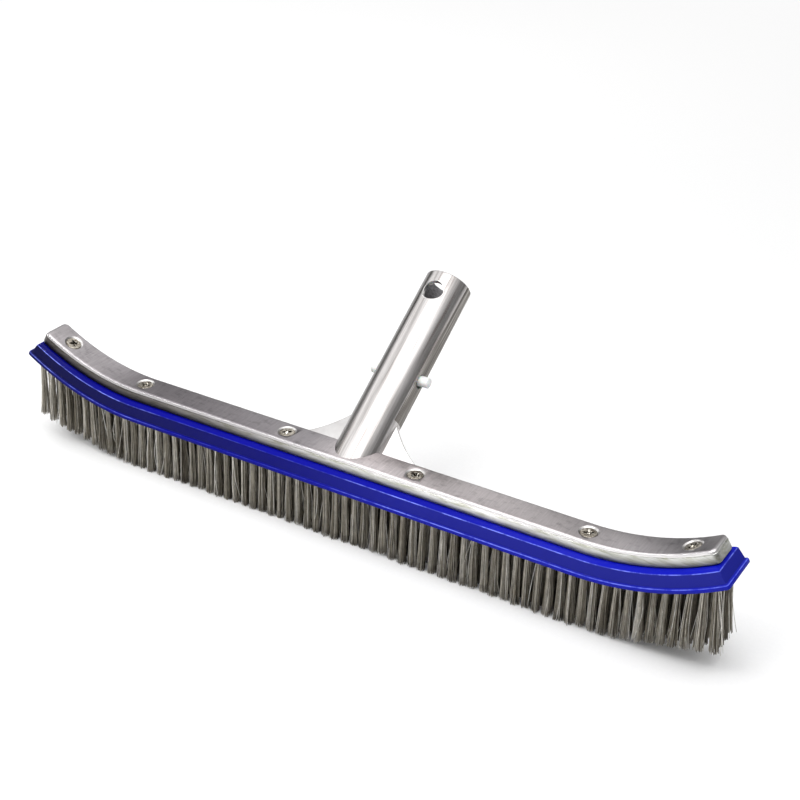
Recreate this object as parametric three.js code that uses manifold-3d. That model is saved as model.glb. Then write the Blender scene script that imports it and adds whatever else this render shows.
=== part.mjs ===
// Curved wall brush for swimming pools, in millimetres, +Z up.
// The origin is the middle of the bristle tips' plane, and +X runs along the brush.
// One aluminium casting (channel back, handle tube and two webs) is screwed to a moulded block,
// whose underside holds four rows of wire tufts. A sprung V-clip sits inside the handle tube.
import * as THREE from 'three';
import { mergeVertices } from 'three/addons/utils/BufferGeometryUtils.js';
import Module from 'manifold-3d';

const wasm = await Module();
wasm.setup();

// ---- driving dimensions ----
const GAP = 0.3; // clearance between pieces that seat on each other
const CUT_PAST = 1; // a cutter runs this far past the surface it opens
const HOLE_SIDES = 14; // facets round a screw, a button or a small hole

const STRAIGHT_HALF = 145.2; // half of the straight middle, measured along the brush
const BEND_RADIUS = 147.7; // both ends curve up on this radius, taken at the block's top plane
const BEND_STEPS = 7;
const CORNER_STEPS = 3;

const BRISTLE_LENGTH = 33; // tips to the underside of the block
const BLOCK_HEIGHT = 11.5;
const BLOCK_TOP = BRISTLE_LENGTH + BLOCK_HEIGHT;
const BLOCK_END = 226.7; // arc length from the middle to the flange's end
const FLANGE_HALF = 14.7;
const FLANGE_HEIGHT = 2.6;
const FLANGE_EDGE = 0.6; // rounding of the flange's edges
const WALL_FOOT_HALF = 13.3; // the side wall leans in from here
const WALL_TOP_HALF = 12.5; // to here
const WALL_SETBACK = 1.8; // the wall stops this far short of the flange's end
const SHOULDER_DROP = 1.7; // the top slopes down this far to the wall
const SHOULDER_HALF = 9.9;
const BLOCK_CORNER = 1.4;

const BACK_END = 224.6;
const BACK_TOP = 8.1; // height of the casting's back above the block's top plane
const BACK_HALF = 9.6;
const BACK_TOP_HALF = 9.3;
const BACK_EDGE = 1.6; // rounding along the top edges
const BACK_CORNER = 3;
const BACK_ROOF = 3.2; // thickness over the channel
const BACK_WALL = 2.2;
const CHANNEL_HALF = BACK_HALF - BACK_WALL;
const CHANNEL_TOP = BACK_TOP - BACK_ROOF;

const TUBE_LEAN = 55.2; // degrees from upright towards +Y
const TUBE_RADIUS = 14.3;
const BORE_RADIUS = 11.5;
const TUBE_LENGTH = 110.2; // along the axis, from above the back's rear edge to the open end
const TUBE_FOOT_Y = 16.7;
const TUBE_FOOT_UP = 7.1; // above the block's top plane
const TUBE_SIDES = 28;
const TUBE_TAIL = 24; // length below the foot that merges into the back
const BORE_DEPTH = 98;
const FLAT_AT_MOUTH = 13.9; // distance of the ground side flats from the axis
const FLAT_AT_WEB = 13.1;
const FLAT_LENGTH = 95;
const WEB_THICKNESS = 3.6;
const WEB_TOP = 95; // where the webs leave the tube, measured from its open end
const WEB_FOOT = 121.5;
const WEB_REACH = 50;
const WEB_START = 12.9; // from the axis, inside the tube's wall
const WEB_WAIST = 28.5; // the hollow curve's middle control point: its distance from the axis
const WEB_WAIST_UP = 6.6; // and its height over the web's foot
const WEB_STEPS = 6;
const TRIM_REACH = 60; // covers the tube and webs where they are trimmed

const ACCESS_HOLE_AT = 13.5; // from the open end, on the upper side
const ACCESS_HOLE_RADIUS = 6.4;

const CLIP_WIDTH = 7;
const CLIP_THICKNESS = 1.8;
const CLIP_HALF = 5.2; // half-width of the bend
const CLIP_CHAMFER = 0.5;
const CLIP_TOP_AT = 14; // from the open end
const CLIP_PIVOT_X = CLIP_HALF - CLIP_THICKNESS / 2;
const CLIP_PIVOT_AT = 17.4;
const LEG_SPLAY = 6; // degrees
const LEG_LENGTH = 51.5;
const KNUCKLE_STEPS = 6;
const BUTTON_AT = 65;
const BUTTON_RADIUS = 3.3;
const BUTTON_TIP = 20.3; // from the tube's axis
const BUTTON_ROOT = 9.4;
const BUTTON_DOME = 2.2;
const DOME_SHAPE = [[1, 0], [0.85, 0.55], [0.5, 0.9]]; // shares of the radius and of the dome's height
const BUTTON_HOLE_RADIUS = 4.1;
const BUTTON_HOLE_AT = 65.65;

const SCREW_ARCS = [-207.9, -147.2, -42.8, 42.8, 147.2, 207.9];
const HEAD_RADIUS = 4.5;
const HEAD_DEPTH = 0.4; // the head's top lies this far under the surface
const SHANK_RADIUS = 2;
const POINT_RADIUS = 0.8;
const POINT_LENGTH = 3;
const SCREW_LENGTH = 12;
const COUNTERSINK_RADIUS = 5.4;
const CLEARANCE_DEPTH = 6; // of the hole under the countersink
const CROSS_WIDTH = 1.1;
const CROSS_SPAN = 4.6;
const CROSS_DEPTH = 1.5;

const TUFT_PITCH = 6.4; // the same along the rows and across them
const TUFT_COLUMNS = 70;
const TUFT_ROWS = 4;
const COLUMNS_PER_GROUP = 2;
const TUFT_ROOT_HALF = 1.2; // a tuft is a square taper from here
const TUFT_TIP_HALF = 3.5; // to here, so neighbours meet just above the tips
const TUFT_SPARE = 4; // a tuft is made this much too long, then trimmed
const TUFT_HOLE_HALF = 1.9;
const TUFT_HOLE_DEPTH = 5.5;
const LONG_FROM = 188; // past this distance along X the wires grow longer
const LONG_RATE = 0.2; // by this much for each millimetre
const TIPS_HALF = 13.2; // half-width of the bristle field at the tips

// ---- colours ----
const ALUMINIUM = { color: 0xb4b0b2, roughness: 0.35, metalness: 1 };
const BLUE_PLASTIC = { color: 0x1a1fb0, roughness: 0.25, metalness: 0 };
const STEEL_WIRE = { color: 0x8c877c, roughness: 0.5, metalness: 0.8 };
const NICKEL = { color: 0xc9c0a8, roughness: 0.3, metalness: 1 };
const NYLON = { color: 0xf2f2ef, roughness: 0.45, metalness: 0 };

const radians = THREE.MathUtils.degToRad;

// ---- solids ----
/** Turns a closed three.js geometry into a solid for joining and cutting, moved by a matrix. */
function solid(geometry, place = new THREE.Matrix4()) {
  geometry.applyMatrix4(place);
  geometry.deleteAttribute('normal');
  geometry.deleteAttribute('uv');
  const merged = mergeVertices(geometry, 1e-4);
  return new wasm.Manifold(new wasm.Mesh({
    numProp: 3,
    vertProperties: new Float32Array(merged.attributes.position.array),
    triVerts: new Uint32Array(merged.index.array),
  }));
}

/** Turns a solid back into a named mesh. */
function part(name, body, finish) {
  const { vertProperties, triVerts } = body.getMesh();
  const geometry = new THREE.BufferGeometry();
  geometry.setAttribute('position', new THREE.BufferAttribute(vertProperties, 3));
  geometry.setIndex(new THREE.BufferAttribute(triVerts, 1));
  geometry.computeVertexNormals();
  const mesh = new THREE.Mesh(geometry, new THREE.MeshStandardMaterial(finish));
  mesh.name = name;
  return mesh;
}

/** A box between two corners. */
function block(low, high) {
  const size = high.map((value, i) => value - low[i]);
  const middle = high.map((value, i) => (value + low[i]) / 2);
  return solid(new THREE.BoxGeometry(...size).translate(...middle));
}

/** An outline in the XZ plane, given thickness along Y about y = 0. */
function slab(points, thickness, place) {
  const shape = new THREE.Shape(points.map(([x, z]) => new THREE.Vector2(x, z)));
  const geometry = new THREE.ExtrudeGeometry(shape, { depth: thickness, bevelEnabled: false });
  return solid(geometry.rotateX(Math.PI / 2).translate(0, thickness / 2, 0), place);
}

/** A solid of revolution about Z from [radius, z] points, lowest first. */
function turned(profile, sides, place) {
  const points = profile.map(([r, z]) => new THREE.Vector2(r, z));
  return solid(new THREE.LatheGeometry(points, sides).rotateX(Math.PI / 2), place);
}

/** A round rod about Z between two heights. */
function rod(radius, low, high, sides, place) {
  return turned([[0, low], [radius, low], [radius, high], [0, high]], sides, place);
}

/** Joins a list of solids. */
function joined(solids) {
  return solids.reduce((whole, next) => whole.add(next));
}

/** The matrix of a turn about X, then one about Y, then a move. */
function placement(degreesX, degreesY, x, y, z) {
  const turn = new THREE.Euler(radians(degreesX), radians(degreesY), 0, 'YXZ');
  return new THREE.Matrix4().makeRotationFromEuler(turn).setPosition(x, y, z);
}

// ---- the brush's long curve ----
/** The point at an arc length from the middle, at a height off the block's top plane. */
function onCurve(arc, height) {
  const reach = Math.abs(arc);
  const angle = Math.max(reach - STRAIGHT_HALF, 0) / BEND_RADIUS;
  const radius = BEND_RADIUS - height;
  return {
    x: Math.sign(arc) * (Math.min(reach, STRAIGHT_HALF) + radius * Math.sin(angle)),
    z: BLOCK_TOP + BEND_RADIUS - radius * Math.cos(angle),
    tilt: Math.sign(arc) * angle,
  };
}

/** Arc lengths of a bar's cross-sections: the curve's steps, then those of the end corners. */
function stations(endArc, corner) {
  const right = [STRAIGHT_HALF];
  for (let i = 1; i <= BEND_STEPS; i++) {
    right.push(STRAIGHT_HALF + ((endArc - corner - STRAIGHT_HALF) * i) / BEND_STEPS);
  }
  for (let i = 1; i <= CORNER_STEPS; i++) {
    right.push(endArc - corner * (1 - Math.sin((Math.PI / 2) * (i / CORNER_STEPS))));
  }
  return [...right.map((arc) => -arc).reverse(), ...right];
}

/** A section of [y, height] points run along the brush's curve, with rounded corners in plan. */
function bar(section, endArc, corner) {
  const arcs = stations(endArc, corner);
  const steps = arcs.length - 1;
  const shape = new THREE.Shape(section.map(([y, h]) => new THREE.Vector2(y, h)));
  const geometry = new THREE.ExtrudeGeometry(shape, { depth: steps, steps, bevelEnabled: false });
  const halfWidth = Math.max(...section.map(([y]) => y));
  const place = geometry.attributes.position;
  for (let i = 0; i < place.count; i++) {
    const arc = arcs[Math.round(place.getZ(i))];
    const short = Math.max(corner - (endArc - Math.abs(arc)), 0);
    const inset = corner - Math.sqrt(Math.max(corner ** 2 - short ** 2, 0));
    const at = onCurve(arc, place.getY(i));
    place.setXYZ(i, at.x, place.getX(i) * (1 - inset / halfWidth), at.z);
  }
  return solid(geometry);
}

/** A symmetric section from its right half, listed from the top down. */
function mirrored(half) {
  const left = half.map(([y, h]) => [-y, h]).reverse();
  return [...half, ...left];
}

/** The frame whose +Z stands on the back's top surface at an arc length. */
function onBack(arc) {
  const at = onCurve(arc, BACK_TOP);
  return placement(0, -THREE.MathUtils.radToDeg(at.tilt), at.x, 0, at.z);
}

/** The tube's own frame: +Z out along its axis, the origin in the middle of its open end. */
const tubeFrame = placement(
  -TUBE_LEAN,
  0,
  0,
  TUBE_FOOT_Y + TUBE_LENGTH * Math.sin(radians(TUBE_LEAN)),
  BLOCK_TOP + TUBE_FOOT_UP + TUBE_LENGTH * Math.cos(radians(TUBE_LEAN)),
);

/** A frame inside the tube's: turned about its X and Y, and set along its axis. */
function inTube(degreesX, degreesY, x, along) {
  return tubeFrame.clone().multiply(placement(degreesX, degreesY, x, 0, along));
}

// ---- handle casting ----
/** The back: a rounded bar, hollowed from below, that follows the curve. */
function makeBack() {
  const section = mirrored([
    [BACK_TOP_HALF - BACK_EDGE, BACK_TOP],
    [BACK_TOP_HALF - BACK_EDGE * (1 - Math.SQRT1_2), BACK_TOP - BACK_EDGE * (1 - Math.SQRT1_2)],
    [BACK_TOP_HALF, BACK_TOP - BACK_EDGE],
    [BACK_HALF, GAP],
  ]);
  return bar(section, BACK_END, BACK_CORNER);
}

function makeChannel() {
  const section = mirrored([[CHANNEL_HALF, CHANNEL_TOP], [CHANNEL_HALF, -CUT_PAST]]);
  return bar(section, BACK_END - BACK_WALL, BACK_CORNER - BACK_WALL);
}

function makeTube() {
  const tube = rod(TUBE_RADIUS, -TUBE_LENGTH - TUBE_TAIL, 0, TUBE_SIDES, tubeFrame);
  return tube.subtract(makeSideFlat(1)).subtract(makeSideFlat(-1));
}

/** The ground flat along one side of the tube, deeper towards the web. */
function makeSideFlat(side) {
  const past = TUBE_RADIUS + CUT_PAST;
  const outline = [
    [side * FLAT_AT_MOUTH, CUT_PAST],
    [side * past, CUT_PAST],
    [side * past, -FLAT_LENGTH],
    [side * FLAT_AT_WEB, -FLAT_LENGTH],
  ];
  return slab(outline, 2 * TUBE_RADIUS, tubeFrame);
}

/** Both webs in one sheet through the tube's middle, with a hollow curve down each side. */
function makeWebs() {
  const curve = new THREE.QuadraticBezierCurve(
    new THREE.Vector2(WEB_START, -WEB_TOP),
    new THREE.Vector2(WEB_WAIST, -WEB_FOOT + WEB_WAIST_UP),
    new THREE.Vector2(WEB_REACH, -WEB_FOOT),
  );
  const right = curve.getPoints(WEB_STEPS).map((point) => [point.x, point.y]);
  return slab(mirrored(right), WEB_THICKNESS, tubeFrame);
}

/** What is taken out of the tube: its bore, the finger hole above and the hole for the buttons. */
function makeTubeCores() {
  const past = TUBE_RADIUS + CUT_PAST;
  return joined([
    rod(BORE_RADIUS, -BORE_DEPTH, CUT_PAST, TUBE_SIDES, tubeFrame),
    rod(ACCESS_HOLE_RADIUS, 0, past, HOLE_SIDES, inTube(90, 0, 0, -ACCESS_HOLE_AT)),
    rod(BUTTON_HOLE_RADIUS, -past, past, HOLE_SIDES, inTube(0, 90, 0, -BUTTON_HOLE_AT)),
  ]);
}

/** Everything in front of the back's rear wall and under its roof, where the tube has no metal. */
function makeTubeTrim() {
  const far = TRIM_REACH;
  const roof = BLOCK_TOP + BACK_TOP - BACK_ROOF / 2;
  const inFront = block([-far, -far, 0], [far, BACK_HALF - BACK_WALL / 2, roof]);
  const under = block([-far, -far, 0], [far, far, BLOCK_TOP + GAP]);
  return inFront.add(under);
}

/** The cone and clearance hole of one screw. */
function makeCountersink(arc) {
  const shank = SHANK_RADIUS + GAP;
  const depth = COUNTERSINK_RADIUS - shank;
  return turned([
    [0, -CLEARANCE_DEPTH],
    [shank, -CLEARANCE_DEPTH],
    [shank, -depth],
    [COUNTERSINK_RADIUS + CUT_PAST, CUT_PAST],
    [0, CUT_PAST],
  ], HOLE_SIDES, onBack(arc));
}

function makeHandleCasting() {
  const handle = makeTube().add(makeWebs()).subtract(makeTubeTrim());
  const hollows = joined([makeChannel(), makeTubeCores(), ...SCREW_ARCS.map(makeCountersink)]);
  return part('handle_casting', makeBack().add(handle).subtract(hollows), ALUMINIUM);
}

// ---- screws ----
/** A countersunk cross-head screw, with its axis on +Z and z = 0 on the back's surface. */
function makeScrew(name, arc) {
  const tip = -HEAD_DEPTH - SCREW_LENGTH;
  const under = -HEAD_DEPTH - (HEAD_RADIUS - SHANK_RADIUS);
  const body = turned([
    [0, tip],
    [POINT_RADIUS, tip],
    [SHANK_RADIUS, tip + POINT_LENGTH],
    [SHANK_RADIUS, under],
    [HEAD_RADIUS, -HEAD_DEPTH],
    [0, -HEAD_DEPTH],
  ], HOLE_SIDES);
  const floor = -HEAD_DEPTH - CROSS_DEPTH;
  const half = CROSS_WIDTH / 2;
  const reach = CROSS_SPAN / 2;
  const cross = block([-reach, -half, floor], [reach, half, CUT_PAST])
    .add(block([-half, -reach, floor], [half, reach, CUT_PAST]));
  const screw = part(name, body.subtract(cross), NICKEL);
  screw.applyMatrix4(onBack(arc));
  return screw;
}

// ---- brush block ----
/** Height of the block's underside above the tips' plane, at a distance along X. */
function undersideAt(x) {
  const radius = BEND_RADIUS + BLOCK_HEIGHT;
  const past = Math.max(Math.abs(x) - STRAIGHT_HALF, 0);
  return BLOCK_TOP + BEND_RADIUS - Math.sqrt(radius ** 2 - past ** 2);
}

/** Places a pitch apart, centred on 0. */
function evenly(count, pitch) {
  return Array.from({ length: count }, (_, i) => (i - (count - 1) / 2) * pitch);
}

const tuftColumns = evenly(TUFT_COLUMNS, TUFT_PITCH); // along X
const tuftRows = evenly(TUFT_ROWS, TUFT_PITCH); // across, in Y

/** The upright blind holes of one column of tufts. */
function makeTuftHoles(x) {
  const base = undersideAt(x);
  const holes = tuftRows.map((y) => block(
    [x - TUFT_HOLE_HALF, y - TUFT_HOLE_HALF, base - BLOCK_HEIGHT],
    [x + TUFT_HOLE_HALF, y + TUFT_HOLE_HALF, base + TUFT_HOLE_DEPTH],
  ));
  return joined(holes);
}

function makePilotHole(arc) {
  const foot = -HEAD_DEPTH - SCREW_LENGTH - GAP;
  return rod(SHANK_RADIUS + GAP, foot, CUT_PAST, HOLE_SIDES, onBack(arc));
}

/** The block: flange, leaning wall with a sloped shoulder, and a tongue that fills the casting's channel. */
function makeBrushBlock() {
  const wallFoot = -BLOCK_HEIGHT + FLANGE_HEIGHT;
  const wall = mirrored([
    [SHOULDER_HALF, 0],
    [WALL_TOP_HALF, -SHOULDER_DROP],
    [WALL_FOOT_HALF, wallFoot],
    [WALL_FOOT_HALF, wallFoot - CUT_PAST],
  ]);
  const flange = mirrored([
    [FLANGE_HALF - FLANGE_EDGE, wallFoot],
    [FLANGE_HALF, wallFoot - FLANGE_EDGE],
    [FLANGE_HALF, -BLOCK_HEIGHT + FLANGE_EDGE],
    [FLANGE_HALF - FLANGE_EDGE, -BLOCK_HEIGHT],
  ]);
  const tongueHalf = CHANNEL_HALF - GAP;
  const tongue = mirrored([[tongueHalf, CHANNEL_TOP - GAP], [tongueHalf, -CUT_PAST]]);
  const body = bar(flange, BLOCK_END, BLOCK_CORNER)
    .add(bar(wall, BLOCK_END - WALL_SETBACK, BLOCK_CORNER))
    .add(bar(tongue, BACK_END - BACK_WALL - GAP, BACK_CORNER - BACK_WALL));
  const holes = joined([...tuftColumns.map(makeTuftHoles), ...SCREW_ARCS.map(makePilotHole)]);
  return part('brush_block', body.subtract(holes), BLUE_PLASTIC);
}

// ---- bristles ----
/** Length of the wires below the block at a distance along X. */
function wireLength(x) {
  return BRISTLE_LENGTH + LONG_RATE * Math.max(Math.abs(x) - LONG_FROM, 0);
}

/** One tuft of wire as a square taper, running past the tips so that it can be trimmed there. */
function makeTuft(x, y) {
  const root = TUFT_HOLE_DEPTH - GAP;
  const height = root + wireLength(x) + TUFT_SPARE;
  const taper = (TUFT_TIP_HALF - TUFT_ROOT_HALF) / (root + wireLength(x));
  const bottomHalf = TUFT_ROOT_HALF + taper * height;
  const top = TUFT_ROOT_HALF * Math.SQRT2;
  const bottom = bottomHalf * Math.SQRT2;
  const taperedBox = new THREE.CylinderGeometry(top, bottom, height, 4, 1, false, Math.PI / 4);
  taperedBox.rotateX(Math.PI / 2);
  taperedBox.translate(x, y, undersideAt(x) + root - height / 2);
  return solid(taperedBox);
}

/** Neighbouring tufts, trimmed to the line of the tips and to their own stretch of the brush. */
function makeTuftGroup(name, columns) {
  const tufts = columns.flatMap((x) => tuftRows.map((y) => makeTuft(x, y)));
  const low = columns[0] - TUFT_PITCH / 2 + GAP / 2;
  const high = columns[columns.length - 1] + TUFT_PITCH / 2 - GAP / 2;
  const outline = [
    [low, undersideAt(low) - wireLength(low)],
    [high, undersideAt(high) - wireLength(high)],
    [high, undersideAt(high) + BRISTLE_LENGTH],
    [low, undersideAt(low) + BRISTLE_LENGTH],
  ];
  const body = joined(tufts).intersect(slab(outline, 2 * TIPS_HALF));
  return part(name, body, STEEL_WIRE);
}

// ---- sprung clip, in the tube's own frame ----
/** The bend that joins the clip's legs. */
function makeClipBend() {
  const inner = CLIP_HALF - CLIP_THICKNESS;
  const foot = -CLIP_PIVOT_AT + CLIP_THICKNESS / 2 + GAP;
  const outside = [
    [inner, -CLIP_TOP_AT],
    [CLIP_HALF - CLIP_CHAMFER, -CLIP_TOP_AT - CLIP_CHAMFER],
    [CLIP_HALF, -CLIP_TOP_AT - CLIP_THICKNESS],
    [CLIP_HALF, foot],
    [inner, foot],
    [inner, -CLIP_TOP_AT - CLIP_THICKNESS],
  ];
  return part('clip_bend', slab(mirrored(outside), CLIP_WIDTH), NYLON);
}

/** One springy leg with its button; side is +1 or -1. */
function makeClipLeg(name, side) {
  const half = CLIP_THICKNESS / 2;
  const outline = [[half, -LEG_LENGTH], [-half, -LEG_LENGTH]];
  for (let i = 0; i <= KNUCKLE_STEPS; i++) {
    const angle = Math.PI * (1 - i / KNUCKLE_STEPS);
    outline.push([half * Math.cos(angle), half * Math.sin(angle)]);
  }
  const hang = placement(0, -side * LEG_SPLAY, side * CLIP_PIVOT_X, 0, -CLIP_PIVOT_AT);
  const shoulder = BUTTON_TIP - BUTTON_DOME;
  const button = turned([
    [0, BUTTON_ROOT],
    [BUTTON_RADIUS, BUTTON_ROOT],
    ...DOME_SHAPE.map(([across, up]) => [BUTTON_RADIUS * across, shoulder + BUTTON_DOME * up]),
    [0, BUTTON_TIP],
  ], HOLE_SIDES, placement(0, side * 90, 0, 0, -BUTTON_AT));
  return part(name, slab(outline, CLIP_WIDTH, hang).add(button), NYLON);
}

// ---- assembly ----
const brush = new THREE.Group();
brush.add(makeHandleCasting(), makeBrushBlock());
SCREW_ARCS.forEach((arc, i) => brush.add(makeScrew(`screw_${i + 1}`, arc)));
for (let first = 0; first < TUFT_COLUMNS; first += COLUMNS_PER_GROUP) {
  const number = String(first / COLUMNS_PER_GROUP + 1).padStart(2, '0');
  brush.add(makeTuftGroup(`tuft_group_${number}`, tuftColumns.slice(first, first + COLUMNS_PER_GROUP)));
}
const clip = new THREE.Group();
clip.applyMatrix4(tubeFrame);
clip.add(makeClipBend(), makeClipLeg('clip_leg_left', -1), makeClipLeg('clip_leg_right', 1));
brush.add(clip);

export default brush;
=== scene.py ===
import math

import bmesh
import bpy
import numpy as np
from mathutils import Euler, Matrix, Vector


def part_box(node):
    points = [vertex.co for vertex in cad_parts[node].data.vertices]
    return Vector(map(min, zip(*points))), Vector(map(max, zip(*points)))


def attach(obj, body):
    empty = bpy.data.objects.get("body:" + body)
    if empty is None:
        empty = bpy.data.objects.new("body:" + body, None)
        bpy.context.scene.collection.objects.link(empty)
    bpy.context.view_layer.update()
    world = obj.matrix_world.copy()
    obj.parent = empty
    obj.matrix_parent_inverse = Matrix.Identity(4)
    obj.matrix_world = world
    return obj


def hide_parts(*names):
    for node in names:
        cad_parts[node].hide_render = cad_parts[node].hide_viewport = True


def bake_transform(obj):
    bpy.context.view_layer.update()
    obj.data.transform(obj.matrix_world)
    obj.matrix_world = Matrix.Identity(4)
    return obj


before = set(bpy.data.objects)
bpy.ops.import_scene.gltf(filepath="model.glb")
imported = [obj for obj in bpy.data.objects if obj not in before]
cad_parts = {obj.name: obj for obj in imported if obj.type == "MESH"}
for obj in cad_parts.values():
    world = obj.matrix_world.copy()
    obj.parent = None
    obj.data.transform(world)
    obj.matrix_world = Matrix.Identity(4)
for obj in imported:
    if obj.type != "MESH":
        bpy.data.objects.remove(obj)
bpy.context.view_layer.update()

MM = 0.001

# ---- driving dimensions ----
# Most are the CAD part's. The roundings, counts of steps, buttons, screw points, tufts and their holes have
# values of their own here.
BLOCK_TOP = 44.5 * MM  # height of the plane where the casting meets the block
STRAIGHT_HALF = 145.2 * MM
BEND_RADIUS = 147.7 * MM  # at the block's top plane
STATION_STEP = 3 * MM
CORNER_STEPS = 7

BRISTLE_LENGTH = 33 * MM
LONG_FROM = 194 * MM  # past this distance along X the wires grow longer
LONG_RATE = 0.2
BLOCK_HEIGHT = 11.5 * MM
BLOCK_END = 226.7 * MM  # arc length to the flange's end
BLOCK_CORNER = 1.8 * MM
FLANGE_HALF = 14.7 * MM
FLANGE_HEIGHT = 2.6 * MM
WALL_FOOT_HALF = 13.3 * MM
WALL_TOP_HALF = 12.5 * MM
SHOULDER_DROP = 1.7 * MM
SHOULDER_HALF = 9.9 * MM
FLANGE_FOOT_ROUNDING = 0.6 * MM
FLANGE_TOP_ROUNDING = 0.8 * MM
WALL_ROUNDING = 0.5 * MM

BACK_END = 224.6 * MM
BACK_TOP = 8.1 * MM
BACK_HALF = 9.6 * MM
BACK_TOP_HALF = 9.3 * MM
BACK_EDGE = 1.9 * MM
BACK_CORNER = 3.6 * MM
BACK_WALL = 2.2 * MM
CHANNEL_HALF = BACK_HALF - BACK_WALL
CHANNEL_TOP = BACK_TOP - 3.2 * MM
SEAT = 0.3 * MM  # clearance between seated pieces
BACK_LINE = 0.3 * MM  # height of the fine line under the back's broad rounding

TUBE_LEAN = math.radians(55.2)  # from upright towards +Y
TUBE_RADIUS = 14.3 * MM
BORE_RADIUS = 11.5 * MM
TUBE_LENGTH = 110.2 * MM
TUBE_FOOT_Y = 16.7 * MM
TUBE_FOOT_UP = 7.1 * MM
TUBE_TAIL = 24 * MM
TUBE_SIDES = 128
BORE_DEPTH = 98 * MM
FLAT_AT_MOUTH = 13.9 * MM
FLAT_AT_WEB = 13.1 * MM
FLAT_LENGTH = 95 * MM
WEB_HALF = 1.8 * MM
WEB_TOP = 95 * MM
WEB_FOOT = 121.5 * MM
WEB_REACH = 50 * MM
WEB_BEVEL = 0.45 * MM
ACCESS_HOLE_AT = 13.5 * MM
ACCESS_HOLE_RADIUS = 6.4 * MM
RIM_WIDTH = 0.32 * MM
RIM_HEIGHT = 0.14 * MM
BUTTON_HOLE_AT = 65.65 * MM
BUTTON_HOLE_RADIUS = 4.1 * MM

CLIP_HALF_WIDTH = 3.5 * MM
CLIP_THICKNESS = 1.8 * MM
CLIP_PIVOT_X = 4.3 * MM
CLIP_PIVOT_AT = 17.4 * MM
CLIP_TOP_AT = 14 * MM
LEG_SPLAY = math.radians(6)
LEG_LENGTH = 51.5 * MM
BUTTON_AT = 65 * MM
BUTTON_RADIUS = 3.15 * MM
BUTTON_TIP = 19.8 * MM
BUTTON_ROOT = 9.4 * MM
BUTTON_ROUNDING = 0.9 * MM

SCREW_ARCS = [arc * MM for arc in (-207.9, -147.2, -42.8, 42.8, 147.2, 207.9)]
HEAD_RADIUS = 4.5 * MM
HEAD_DEPTH = 0.4 * MM
SHANK_RADIUS = 2 * MM
SCREW_LENGTH = 12 * MM
THREAD_PITCH = 1.4 * MM
THREAD_DEPTH = 0.5 * MM
POINT_LENGTH = 2.6 * MM
RECESS_ARM = 3 * MM
RECESS_HALF_WIDTH = 0.75 * MM
RECESS_TURN = 37  # degrees from one screw's recess to the next
COUNTERSINK_RADIUS = 5.4 * MM

TUFT_PITCH = 6.4 * MM
TUFT_ROWS = 4
COLUMNS_PER_GROUP = 2
TUFT_GROUPS = 35
TUFT_ROOT_RADIUS = 1.6 * MM
TUFT_HOLE_RADIUS = 1.8 * MM
TUFT_HOLE_DEPTH = 5 * MM
WIRE_IN_HOLE = 4 * MM

WIRES_PER_TUFT = 64
WIRE_RADIUS = 0.16 * MM
WIRE_SIDES = 5
WIRE_STEPS = 6
STRAY_SHARE = 0.02
STRAY_REACH = (3.2 * MM, 1.8 * MM)
END_FAN = 2.6 * MM  # how far the end tufts' tips lean outwards
SEED = 20


# ---- meshes ----
def make_object(name, points, faces, material=None):
    """A closed mesh object, with its faces turned outwards."""
    mesh = bpy.data.meshes.new(name)
    mesh.from_pydata([tuple(p) for p in points], [], faces)
    work = bmesh.new()
    work.from_mesh(mesh)
    bmesh.ops.remove_doubles(work, verts=work.verts, dist=1e-7)
    bmesh.ops.recalc_face_normals(work, faces=work.faces)
    work.to_mesh(mesh)
    work.free()
    thing = bpy.data.objects.new(name, mesh)
    bpy.context.scene.collection.objects.link(thing)
    if material:
        mesh.materials.append(material)
    return thing


def apply_modifiers(thing):
    bpy.context.view_layer.update()
    graph = bpy.context.evaluated_depsgraph_get()
    mesh = bpy.data.meshes.new_from_object(thing.evaluated_get(graph), depsgraph=graph)
    thing.modifiers.clear()
    thing.data = mesh
    return thing


def combine(target, operation, *others):
    """Joins the others to the target, or cuts them out of it. The others are used up."""
    for other in others:
        step = target.modifiers.new("combine", "BOOLEAN")
        step.operation = operation
        step.solver = "MANIFOLD"
        step.material_mode = "TRANSFER"
        step.object = other
        apply_modifiers(target)
        bpy.data.objects.remove(other)
    return target


def bevelled(thing, width, segments, angle, material_index=-1):
    step = thing.modifiers.new("edges", "BEVEL")
    step.material = material_index
    step.width = width
    step.segments = segments
    step.limit_method = "ANGLE"
    step.angle_limit = math.radians(angle)
    return apply_modifiers(thing)


def gathered(name, things):
    """Several closed bodies as one object. They are used up."""
    work = bmesh.new()
    materials = []
    for thing in things:
        work.from_mesh(thing.data)
        materials += [m for m in thing.data.materials if m not in materials]
        bpy.data.objects.remove(thing)
    mesh = bpy.data.meshes.new(name)
    work.to_mesh(mesh)
    work.free()
    for material in materials:
        mesh.materials.append(material)
    whole = bpy.data.objects.new(name, mesh)
    bpy.context.scene.collection.objects.link(whole)
    return whole


def shaded(thing, angle=32):
    """Smooth shading, with the edges sharper than the angle kept crisp."""
    thing.data.shade_smooth()
    thing.data.set_sharp_from_angle(angle=math.radians(angle))
    return thing


def block(name, low, high, place=Matrix(), material=None):
    corners = [place @ Vector((x, y, z))
               for z in (low[2], high[2]) for y in (low[1], high[1]) for x in (low[0], high[0])]
    faces = [(0, 1, 3, 2), (4, 6, 7, 5), (0, 4, 5, 1), (2, 3, 7, 6), (0, 2, 6, 4), (1, 5, 7, 3)]
    return make_object(name, corners, faces, material)


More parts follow.
